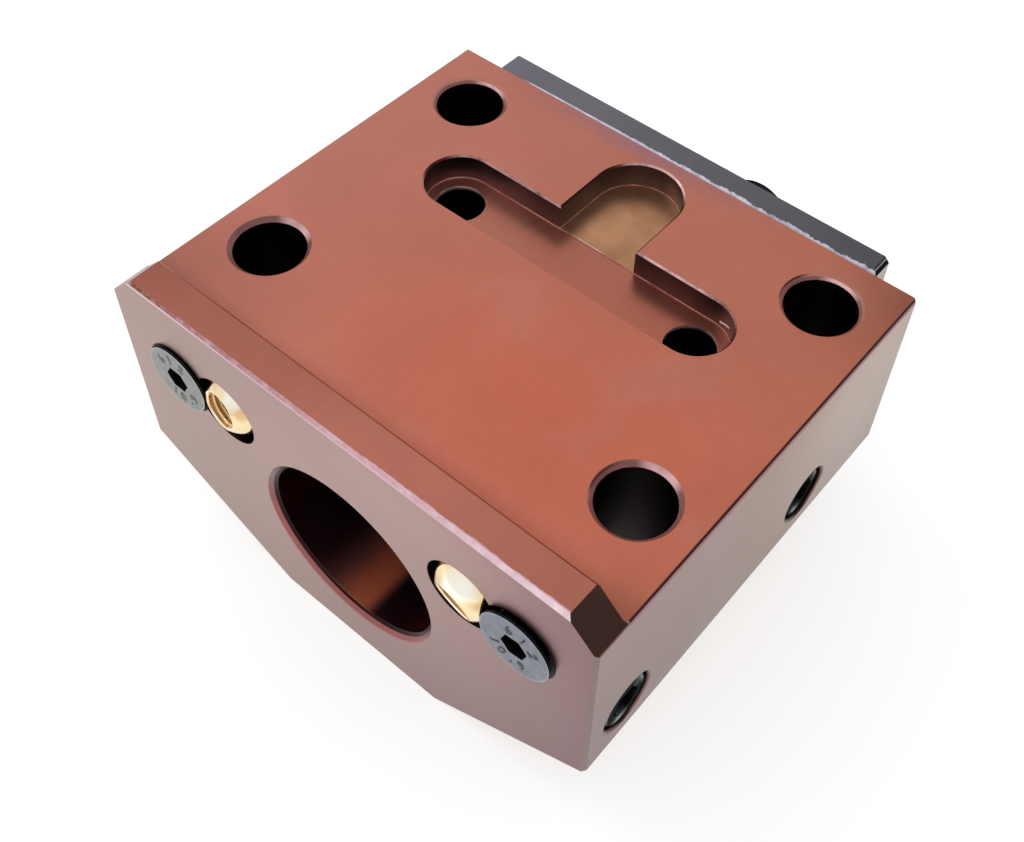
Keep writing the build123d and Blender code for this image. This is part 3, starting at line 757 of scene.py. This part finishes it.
def block_steel():
    look = settings("block_finish")
    shader = Shader("block_steel")
    x, y, z = shader.split(shader.place)
    across = shader.size(x)
    height_in_bore = shader.add(z, BORE_DROP)
    from_bore = shader.length(x, height_in_bore)
    from_bolt = shader.length(shader.minus(across, BOLT_AT[0]), shader.minus(shader.size(y), BOLT_AT[1]))
    from_clamp = shader.length(from_clamp_axis(shader, y), height_in_bore)

    # where on the body it is
    up = shader.both(shader.facing(UP, SQUARE), shader.edge(z, TOP_HEIGHT))
    sideways = shader.step(shader.size(shader.split(shader.normal)[0]), *SQUARE)
    outside = shader.any(
        shader.both(shader.facing(FORWARD, SQUARE), shader.edge(y, FRONT_SKIN, BLOCK_LOW.y)),
        shader.both(sideways, shader.edge(across, SIDE_SKIN, BLOCK_HIGH.x)),
        shader.both(shader.facing(DOWN, TURNED_DOWN), shader.edge(from_bore, OUTSIDE_BORE)),
        shader.both(shader.facing(BACKWARD, SQUARE), shader.edge(y, BACK_SKIN)),
    )
    in_pocket = shader.edge(z, HOLE_DEPTH)
    at_bolt = shader.edge(from_bolt, BOLT_REACH)
    rim_depth = shader.edge(z, BOLT_RIM_LOW)
    below_top = shader.edge(z, RIM_HIGH)
    off_top = shader.away(up)
    within_pocket = shader.edge(across, POCKET_REACH)
    at_pocket_rim = shader.both(shader.edge(z, RIM_LOW), below_top, within_pocket)
    at_clamp = shader.both(shader.edge(from_clamp, CLAMP_REACH), shader.edge(across, CLAMP_WALL))
    at_flank = shader.edge(across, FLANK_WIDTH)
    at_corner = shader.both(shader.edge(across, CORNER_WIDTH), shader.edge(y, CORNER_DEPTH, BLOCK_LOW.y))
    at_lip_edge = shader.both(shader.facing((0, -1, 1), ALONG_BEVEL), shader.edge(z, EDGE_HEIGHT))
    at_lip_back = shader.both(shader.facing((0, 1, 1), ALONG_BEVEL), shader.edge(z, LIP_BACK_HEIGHT))

    # colours, from the deepest holes out to the lip
    wall = wall_colour(shader, look, x, y, z, sideways)
    top = top_colour(shader, look, x, y, z)
    pocket, pocket_matte = pocket_colour(shader, look, x, y, z)
    pocket_rim, rim_matte = pocket_rim_colour(shader, look, x, top)
    bolt_rim = bolt_rim_colour(shader, look, y, from_bolt, top)
    clamp_ring = shader.shade(wall, CLAMP_RING_LIGHT)
    lip_side = shader.mix(shader.facing(BACKWARD, ROUGHLY), look.facet, look.lip)
    # Painted shade: everything deep below the top starts near black
    colour = shader.mix(in_pocket, look.hole_shade, pocket)
    for mask, layer in (
        (at_bolt, shader.mix(rim_depth, look.hole_shade, bolt_rim)),
        (shader.edge(from_bore, BORE_REACH), bore_colour(shader, look, x, z, from_bore, wall)),
        (at_pocket_rim, pocket_rim),
        (at_flank, flank_colour(shader, look, z, wall, top)),
        (at_clamp, shader.mix(shader.edge(from_clamp, CLAMP_RING), look.hole_shade, clamp_ring)),
        (at_corner, look.bevel),
        (shader.edge(z, LIP_HEIGHT), lip_side),
        (outside, wall),
        (up, top),
        (at_lip_edge, lip_edge_colour(shader, look, x, z)),
        (at_lip_back, look.step_line),
    ):
        colour = shader.mix(mask, colour, layer)

    # places that look matte instead of metallic
    inside_bore = shader.edge(from_bore, BORE_WALL[::-1])
    on_pocket_wall = shader.both(
        in_pocket, shader.edge(z, MATTE_WALL_DEPTH), within_pocket, off_top, shader.edge(y, MATTE_WALL_START)
    )
    matte = shader.any(
        shader.both(inside_bore, bore_floor(shader, x, z)),
        shader.both(at_pocket_rim, rim_matte),
        shader.both(on_pocket_wall, pocket_matte),
        shader.both(
            at_flank, shader.edge(z, FLANK_MATTE_LOW), shader.away(outside), off_top,
            shader.edge(z, FLANK_MATTE_HIGH)
        ),
        shader.both(rim_depth, off_top, at_bolt, below_top),
    )

    patches = shader.noise(BODY_PATCHES)
    grain = shader.noise(BODY_GRAIN)
    tone = shader.both(shader.level(patches, BODY_PATCHES), shader.level(grain, BODY_GRAIN))
    roughness = shader.ramp(
        patches, *BODY_PATCHES.band, look.roughness - ROUGHNESS_SPREAD, look.roughness + ROUGHNESS_SPREAD
    )
    shader.bump(grain, strength=0.12, distance=0.02 * MM)
    return shader.finish(shader.shade(colour, tone), shader.minus(1.0, matte), roughness)


# --- plate, brass, screws and seals ---

# Shares of the plate's length, and what the filed edge runs between
FILED_START = (0.06, 0.1)
FILED_SWING = (0.2, 0.8, 0.16, 1.0)
FILED_REACH = (0.08, 1.0, 0.30 * MM, 1.12 * MM)

PLATE_SCRATCHES = Grain(500.0, 3.0, 0.6, (0.25, 0.55), (0.45, 1.0), (1.0, 0.15, 1.0))
PLATE_PATCHES = Grain(60.0, 3.0, result=(0.93, 1.07))
# Heights on the end bevel: painted shade below, a painted highlight line, then the plate's colour
PLATE_BEVEL_HIGHLIGHT = (-0.42, -0.36)
PLATE_BEVEL_DARK = (-0.28, -0.2)
FILED_FACE = ((0, -0.6, 1), (0.6, 0.75))
FILED_SOFT = (0.05, -0.05)
FILED_RAGGED = Grain(400.0, 4.0, 0.75, result=(-0.26 * MM, 0.26 * MM), stretch=(1.0, 0.4, 0.4))

BALL_PATCHES = Grain(240.0, 2.0, 0.5, result=(-0.35, 0.35), stretch=(1.0, 0.5, 1.0))

# A direction, and how nearly the ball has to face it: a painted highlight where it faces SHINE, painted tan
# shade where it faces the two below it
SHINE = {"left": ((0.38, -0.64, 0.67), (0.93, 1.0)), "right": ((0.03, -0.72, 0.69), (0.82, 1.0))}
TAN_SHADE_LEFT = ((-0.80, -0.50, 0.45), (0.72, 0.96))
TAN_SHADE_LEFT_PATCHES = (0.40, 0.56)
TAN_SHADE_RIGHT = ((0.62, -0.60, 0.50), (0.90, 0.99))
TAN_SHADE_RIGHT_PATCHES = (0.62, 0.46)

# Places in millimetres from the outlet's wall, the front face or the side wall
OUTLET_EDGE = (0.08, -0.05)
OUTLET_ROOT = (-0.32, -0.12)
OUTLET_DEPTH = 2.6 * MM
OUTLET_DARKENS = (0.30, 1.0)
OUTLET_METALLIC = 0.35

HEAD_FACE = (1.0, 0.0)
# Painted highlight round the rim of a screw head's face
HEAD_RIM = (5.72, 5.82)
HEAD_RIM_HIGHLIGHT = 1.45
HEAD_PATCHES = Grain(620.0, 4.0, 0.65, result=(0.80, 1.16))
OXIDE_PATCHES = Grain(420.0, 3.0, 0.6)

# Painted glints on the set screws
GLINTS = Grain(420.0, 3.0, 0.6, (0.40, 0.58), (0.10, 1.0))
GLINT_REAR = Patch((3.7, -24.1), (2.6, 2.6))
GLINT_LOW = Patch((-1.5, -29.6), (2.8, 2.2))
SLOPING_IN = (0.4, 0.6)
SLOPING_OUT = (0.95, 0.8)
RIM_GLINT_SHARE = 0.4
SOCKET_DEPTH = (-0.9, -1.6)

RUBBER_GRAIN = Grain(900.0, result=(0.8, 1.2))


def plate_steel():
    """Dark oxide, paler at the right end, with a ragged bare strip filed along the front edge. The bevel at
    the right end is painted black as shade, with a painted highlight line.
    """
    look = settings("plate_finish")
    shader = Shader("plate_steel")
    x, y, z = shader.split(shader.place)
    scratches = shader.noise(PLATE_SCRATCHES)
    along = shader.ramp(x, PLATE_LOW.x, PLATE_HIGH.x)
    face = shader.mix(along, look.left, look.right)
    face = shader.mix(shader.facing(RIGHT, ROUGHLY), face, look.end)
    # End bevel: painted shade, with a painted highlight line
    bevel = shader.facing((1, 0, 1), ALONG_BEVEL)
    face = shader.mix(bevel, face, look.edge)
    upper = shader.mix(shader.edge(z, PLATE_BEVEL_DARK), look.filed, look.right)
    face = shader.mix(shader.both(bevel, shader.edge(z, PLATE_BEVEL_HIGHLIGHT)), face, upper)

    ragged = shader.both(shader.grain(FILED_RAGGED), shader.ramp(along, *FILED_SWING))
    reach = shader.add(shader.ramp(along, *FILED_REACH), ragged)
    within = shader.edge(shader.minus(shader.minus(y, PLATE_LOW.y), reach), FILED_SOFT)
    filed = shader.both(
        within, shader.facing(*FILED_FACE), shader.step(along, *FILED_START),
        shader.level(scratches, PLATE_SCRATCHES)
    )
    colour = shader.mix(filed, face, look.filed)
    shader.bump(scratches, strength=0.15, distance=0.02 * MM)
    return shader.finish(shader.shade(colour, shader.grain(PLATE_PATCHES)), metallic=1.0, roughness=0.38)


def polished_brass(side, centre, axis):
    """Painted highlight and painted tan shade on the ball, broken up by patches, and painted shade at the
    thread's roots deep in its outlet.
    """
    look = settings("nozzle_finish")
    shader = Shader(f"polished_brass_{side}")
    reach = shader.vector("SUBTRACT", shader.place, centre)
    along = shader.vector("DOT_PRODUCT", reach, axis)
    from_axis = shader.vector("LENGTH", shader.vector("CROSS_PRODUCT", reach, axis))
    within = shader.edge(from_axis, OUTLET_EDGE, look.outlet_radius)
    deep = shader.both(
        within, shader.ramp(along, look.outlet_mouth, look.outlet_mouth - OUTLET_DEPTH, *OUTLET_DARKENS)
    )
    patches = shader.noise(BALL_PATCHES)
    lit = shader.add(shader.facing(*SHINE[side]), shader.level(patches, BALL_PATCHES), clamp=True)
    tan_shade = shader.any(
        shader.both(shader.facing(*TAN_SHADE_LEFT), shader.step(patches, *TAN_SHADE_LEFT_PATCHES)),
        shader.both(shader.facing(*TAN_SHADE_RIGHT), shader.step(patches, *TAN_SHADE_RIGHT_PATCHES)),
    )
    ball = shader.mix(lit, shader.mix(tan_shade, look.brass, look.tan), look.bright)
    # Painted shade at the thread's roots deep in the outlet
    root = shader.edge(from_axis, OUTLET_ROOT, look.outlet_radius)
    colour = shader.mix(deep, ball, shader.mix(root, look.brass, look.inside))
    metallic = shader.ramp(deep, 0.0, 1.0, 1.0, OUTLET_METALLIC)
    shader.bump(shader.noise(Grain(700.0)), strength=0.10, distance=0.03 * MM)
    return shader.finish(colour, metallic, roughness=0.15)


def oxide_steel(name, colour, roughness, variation, grazing=(1.0, 1.0, 1.0)):
    """Patchy steel; grazing tints the light that glances off it."""
    shader = Shader(name)
    patches = OXIDE_PATCHES._replace(result=(1.0 - variation, 1.0 + variation))
    shader.bump(shader.noise(Grain(2200.0)), strength=0.15, distance=0.02 * MM)
    shader.surface.inputs["Specular Tint"].default_value = (*grazing, 1.0)
    return shader.finish(shader.shade(colour, shader.grain(patches)), 1.0, roughness)


def rubbed_steel(side):
    """Black oxide that is rubbed grey on the head's flat face, with a painted highlight round the face's rim.
    """
    look = settings("fastener_finish")
    shader = Shader(f"rubbed_steel_{side}")
    low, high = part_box(f"nozzle_screw_{side}")
    x, y, z = shader.split(shader.place)
    from_axis = shader.length(shader.minus(x, (low.x + high.x) / 2), shader.minus(z, (low.z + high.z) / 2))
    face = shader.both(shader.facing(FORWARD, ROUGHLY), shader.edge(y, HEAD_FACE, BLOCK_LOW.y))
    colour = shader.mix(face, look.black, getattr(look, f"grey_{side}"))
    colour = shader.shade_where(shader.both(face, shader.edge(from_axis, HEAD_RIM)), colour, HEAD_RIM_HIGHLIGHT)
    shader.bump(shader.noise(Grain(1600.0, 3.0)), strength=0.25, distance=0.03 * MM)
    return shader.finish(shader.shade(colour, shader.grain(HEAD_PATCHES)), metallic=1.0, roughness=0.42)


def set_screw_steel():
    """Black oxide with painted glints on the rim and round the socket."""
    look = settings("fastener_finish")
    shader = Shader("set_screw_steel")
    x, y, z = shader.split(shader.place)
    offset = from_clamp_axis(shader, y)
    glints = shader.grain(GLINTS)
    ends = shader.any(shader.spot(offset, z, GLINT_REAR), shader.spot(offset, z, GLINT_LOW))
    rim = shader.both(shader.facing(RIGHT, SLOPING_IN), shader.facing(RIGHT, SLOPING_OUT))
    glow = shader.any(shader.both(ends, glints), shader.both(rim, glints, RIM_GLINT_SHARE))
    colour = shader.mix(glow, look.black_face, look.glint)
    colour = shader.mix(shader.edge(x, SOCKET_DEPTH, BLOCK_HIGH.x), colour, look.black)
    shader.surface.inputs["Specular Tint"].default_value = (*look.black_grazing, 1.0)
    shader.bump(shader.noise(Grain(1500.0)), strength=0.2, distance=0.03 * MM)
    return shader.finish(colour, metallic=1.0, roughness=0.38)


def seal_rubber():
    shader = Shader("seal_rubber")
    colour = shader.shade(settings("fastener_finish").rubber, shader.grain(RUBBER_GRAIN))
    return shader.finish(colour, metallic=0.0, roughness=0.55)


# --- new pieces ---

BALL_FIT = 0.05 * MM
WELD = 0.001 * MM
RIDGE_SHARE = 0.45
INNER, OUTER = 0, 1
MARKS = (
    Mark("mark_grade_right", "10.9", "right", -19.0, 26.0, OUTER, True),
    Mark("mark_size_right", "612", "right", -24.0, 40.0, INNER, False),
    Mark("mark_grade_left", "10.9", "left", 18.0, 26.0, OUTER, True),
    Mark("mark_size_left", "612", "left", 12.0, 36.0, OUTER, False),
)


def new_object(name, data):
    """Puts a mesh, some lettering, a lamp or a camera in the scene."""
    thing = bpy.data.objects.new(name, data)
    bpy.context.scene.collection.objects.link(thing)
    return thing


def mesh_object(name, shape):
    """Turns a bmesh into an object."""
    data = bpy.data.meshes.new(name)
    shape.to_mesh(data)
    shape.free()
    return new_object(name, data)


def mesh_piece(name, shape, material, body):
    """Turns a bmesh into a piece that rides on a body."""
    piece = mesh_object(name, shape)
    piece.data.materials.append(material)
    for polygon in piece.data.polygons:
        polygon.use_smooth = True
    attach(piece, body)
    return piece


def outlet_line(side):
    """Ball centre and the direction of its outlet, read from the ball's own surface."""
    centre = Vector(JOINTS[f"nozzle_{side}_swivel"]["pos_m"])
    radius = settings("nozzle_finish").ball_radius
    pull = Vector()
    for polygon in NODES[f"nozzle_{side}"].data.polygons:
        if abs((polygon.center - centre).length - radius) < BALL_FIT:
            pull += polygon.normal * polygon.area
    return centre, -pull.normalized()


def outlet_thread(side, centre, axis, material):
    """Helical ridge on the wall of a nozzle's outlet."""
    look = settings("nozzle_finish")
    shape = bmesh.new()
    half = look.thread_pitch * RIDGE_SHARE
    ridge = [shape.verts.new(point) for point in (
        (look.outlet_radius, 0.0, -half),
        (look.outlet_radius - look.thread_depth, 0.0, 0.0),
        (look.outlet_radius, 0.0, half),
    )]
    profile = shape.faces.new(ridge)
    bmesh.ops.spin(
        shape, geom=[profile, *profile.edges, *profile.verts], cent=CENTRE, axis=UP,
        dvec=(0, 0, look.thread_pitch / ROUND_STEPS), angle=2 * math.pi * look.thread_turns,
        steps=ROUND_STEPS * look.thread_turns, use_merge=False
    )
    bmesh.ops.recalc_face_normals(shape, faces=shape.faces)
    start = centre + axis * (look.outlet_mouth - half - look.thread_pitch * look.thread_turns)
    turn = axis.to_track_quat("Z", "Y").to_matrix().to_4x4()
    bmesh.ops.transform(shape, matrix=Matrix.Translation(start) @ turn, verts=shape.verts)
    return mesh_piece(f"outlet_thread_{side}", shape, material, f"nozzle_{side}")


def figure(name, character, size, relief):
    """One figure as a solid, centred and lying flat."""
    curve = bpy.data.curves.new(name, "FONT")
    curve.body = character
    curve.size = size
    curve.extrude = relief
    curve.offset = relief
    curve.align_x = "CENTER"
    curve.align_y = "CENTER"
    lettering = new_object(name, curve)
    bpy.context.view_layer.update()
    solid = bmesh.new()
    solid.from_mesh(lettering.to_mesh())
    bpy.data.objects.remove(lettering)
    return solid


def head_mark(mark, material):
    """Figures on a circle round a countersunk screw's socket, about an angle from straight up."""
    look = settings("fastener_finish")
    low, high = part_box(f"nozzle_screw_{mark.side}")
    centre = Vector(((low.x + high.x) / 2, low.y, (low.z + high.z) / 2))
    stand = Matrix.Translation(centre) @ Matrix.Rotation(math.radians(90), 4, "X")
    circle = look.mark_circles[mark.circle]
    outward = Matrix.Translation((0, -circle if mark.inward else circle, 0))
    marks = bpy.data.meshes.new(mark.name)
    shape = bmesh.new()
    for index, character in enumerate(mark.figures):
        step = (index - (len(mark.figures) - 1) / 2) * mark.spread
        turn = Matrix.Rotation(math.radians(mark.middle + (step if mark.inward else -step)), 4, "Z")
        solid = figure(mark.name, character, look.mark_size, look.mark_relief)
        bmesh.ops.transform(solid, matrix=stand @ turn @ outward, verts=solid.verts)
        solid.to_mesh(marks)
        solid.free()
        shape.from_mesh(marks)
    bpy.data.meshes.remove(marks)
    bmesh.ops.remove_doubles(shape, verts=shape.verts, dist=WELD)
    return mesh_piece(mark.name, shape, material, "block")


# --- studio ---

WHITE = (1.0, 1.0, 1.0, 1.0)
CARD_BLACK = (0.01, 0.01, 0.01, 1.0)
CLIP_START = 0.01


def stage_plane(name, size, place, look_at=None):
    """A square sheet, facing up or towards a point."""
    shape = bmesh.new()
    bmesh.ops.create_grid(shape, x_segments=1, y_segments=1, size=size / 2)
    if look_at is not None:
        turn = (Vector(look_at) - Vector(place)).to_track_quat("Z", "Y").to_matrix().to_4x4()
        bmesh.ops.transform(shape, matrix=turn, verts=shape.verts)
    bmesh.ops.translate(shape, vec=place, verts=shape.verts)
    sheet = mesh_object(name, shape)
    return sheet


def paper_material(look):
    """White paper that keeps shadows but reads as white to the camera and in reflections."""
    material = new_material("paper")
    tree = material.node_tree
    tree.nodes.clear()
    rays = new_node(tree, "LightPath").outputs
    seen = new_node(tree, "Math", {0: rays["Is Camera Ray"], 1: rays["Is Glossy Ray"]}, operation="MAXIMUM")
    paper = new_node(tree, "BsdfDiffuse", {"Color": (*look.paper, 1.0)})
    glow = new_node(tree, "Emission", {"Color": (*look.paper_glow, 1.0), "Strength": seen.outputs[0]})
    both = new_node(tree, "AddShader", {0: paper.outputs[0], 1: glow.outputs[0]})
    new_node(tree, "OutputMaterial", {"Surface": both.outputs[0]})
    return material


def flag_material():
    """Black card."""
    material = new_material("flag_card")
    surface = material.node_tree.nodes["Principled BSDF"]
    surface.inputs["Base Color"].default_value = CARD_BLACK
    surface.inputs["Roughness"].default_value = 1.0
    surface.inputs["Specular IOR Level"].default_value = 0.0
    return material


def white_world(strength):
    """Even light from all round, seen as white by the camera."""
    world = bpy.data.worlds.new("studio")
    bpy.context.scene.world = world
    world.use_nodes = True
    tree = world.node_tree
    sky = tree.nodes["Background"].inputs
    sky["Color"].default_value = WHITE
    seen = new_node(tree, "LightPath").outputs["Is Camera Ray"]
    level = new_node(tree, "MapRange", {"Value": seen, "To Min": strength, "To Max": 1.0})
    feed(tree, sky["Strength"], level.outputs["Result"])


def lamp(name, power, size, place, target):
    """A square lamp that shines at a target."""
    data = bpy.data.lights.new(name, "AREA")
    data.energy = power
    data.size = size
    light = new_object(name, data)
    light.location = place
    light.rotation_euler = (Vector(target) - Vector(place)).to_track_quat("-Z", "Y").to_euler()


def camera(look):
    data = bpy.data.cameras.new("camera")
    data.lens = look.lens
    data.shift_x, data.shift_y = look.shift
    data.clip_start = CLIP_START
    viewer = new_object("camera", data)
    viewer.location = look.camera_place
    viewer.rotation_euler = look.camera_turn
    bpy.context.scene.camera = viewer


# --- operators ---


class OBJECT_OT_dress_block(bpy.types.Operator):
    """Brown hardened steel on the machined body"""

    bl_idname = "object.dress_block"
    bl_label = "Body"

    def execute(self, context):
        dress("tool_block", block_steel())
        return {"FINISHED"}


class OBJECT_OT_dress_plate(bpy.types.Operator):
    """Dark steel with a filed edge on the back plate"""

    bl_idname = "object.dress_plate"
    bl_label = "Back plate"

    def execute(self, context):
        dress("back_plate", plate_steel())
        return {"FINISHED"}


class OBJECT_OT_dress_nozzles(bpy.types.Operator):
    """Brass balls with threaded outlets"""

    bl_idname = "object.dress_nozzles"
    bl_label = "Nozzles"

    def execute(self, context):
        for side in SIDES:
            centre, axis = outlet_line(side)
            brass = polished_brass(side, centre, axis)
            dress(f"nozzle_{side}", brass)
            outlet_thread(side, centre, axis, brass)
        return {"FINISHED"}


class OBJECT_OT_dress_nozzle_screws(bpy.types.Operator):
    """Grey countersunk screws with raised figures on their heads, painted dark as shade"""

    bl_idname = "object.dress_nozzle_screws"
    bl_label = "Nozzle screws"

    def execute(self, context):
        look = settings("fastener_finish")
        # The figures' dark colours are painted shade
        inks = {
            "right": oxide_steel("mark_steel", look.ink, roughness=0.5, variation=0.15),
            "left": oxide_steel("faint_mark_steel", look.faint_ink, roughness=0.5, variation=0.15),
        }
        for side in SIDES:
            dress(f"nozzle_screw_{side}", rubbed_steel(side))
        for mark in MARKS:
            head_mark(mark, inks[mark.side])
        return {"FINISHED"}


class OBJECT_OT_dress_black_screws(bpy.types.Operator):
    """Black set screws and plate screws"""

    bl_idname = "object.dress_black_screws"
    bl_label = "Set screws and plate screws"

    def execute(self, context):
        look = settings("fastener_finish")
        black = oxide_steel(
            "black_steel", look.black, roughness=0.34, variation=0.25, grazing=look.plate_screw_grazing
        )
        dress("plate_screws", black)
        steel = set_screw_steel()
        for node in ("clamp_screw_front", "clamp_screw_rear"):
            dress(node, steel)
        return {"FINISHED"}


class OBJECT_OT_dress_seals(bpy.types.Operator):
    """Black rubber rings"""

    bl_idname = "object.dress_seals"
    bl_label = "Seals"

    def execute(self, context):
        rubber = seal_rubber()
        for node in ("plate_seal", "nozzle_seal_left", "nozzle_seal_right"):
            dress(node, rubber)
        return {"FINISHED"}


class OBJECT_OT_set_stage(bpy.types.Operator):
    """White paper floor, soft light and camera"""

    bl_idname = "object.set_stage"
    bl_label = "Stage"

    def execute(self, context):
        look = settings("studio")
        context.scene.view_settings.view_transform = "Standard"
        floor = stage_plane("floor", look.floor_size, (0, 0, CAD_BOX[0].z))
        floor.data.materials.append(paper_material(look))
        flag = stage_plane("flag", look.flag_size, look.flag_place, CENTRE)
        flag.data.materials.append(flag_material())
        flag.visible_camera = False
        flag.visible_diffuse = False
        flag.visible_shadow = False
        white_world(look.sky_strength)
        lamp("key", look.key_power, look.key_size, look.key_place, CENTRE)
        camera(look)
        return {"FINISHED"}


class VIEW3D_PT_tool_block(bpy.types.Panel):
    """Lists the finishes and the stage"""

    bl_label = "Tool block"
    bl_idname = "VIEW3D_PT_tool_block"
    bl_space_type = "VIEW_3D"
    bl_region_type = "UI"
    bl_category = "Tool block"

    def draw(self, context):
        for operator in OPERATORS:
            self.layout.operator(operator.bl_idname)
        for name in GROUPS:
            group = getattr(context.scene, name)
            box = self.layout.box()
            for key in group.bl_rna.properties.keys():
                if key not in ("rna_type", "name"):
                    box.prop(group, key)


OPERATORS = (
    OBJECT_OT_dress_block,
    OBJECT_OT_dress_plate,
    OBJECT_OT_dress_nozzles,
    OBJECT_OT_dress_nozzle_screws,
    OBJECT_OT_dress_black_screws,
    OBJECT_OT_dress_seals,
    OBJECT_OT_set_stage,
)


def register():
    for group in GROUPS.values():
        bpy.utils.register_class(group)
    for name, group in GROUPS.items():
        setattr(bpy.types.Scene, name, bpy.props.PointerProperty(type=group))
    for entry in (*OPERATORS, VIEW3D_PT_tool_block):
        bpy.utils.register_class(entry)


def unregister():
    for entry in (VIEW3D_PT_tool_block, *reversed(OPERATORS)):
        bpy.utils.unregister_class(entry)
    for name in GROUPS:
        delattr(bpy.types.Scene, name)
    for group in reversed(GROUPS.values()):
        bpy.utils.unregister_class(group)


def main():
    register()
    for operator in OPERATORS:
        group, name = operator.bl_idname.split(".")
        getattr(getattr(bpy.ops, group), name)()


if __name__ == "__main__":
    main()
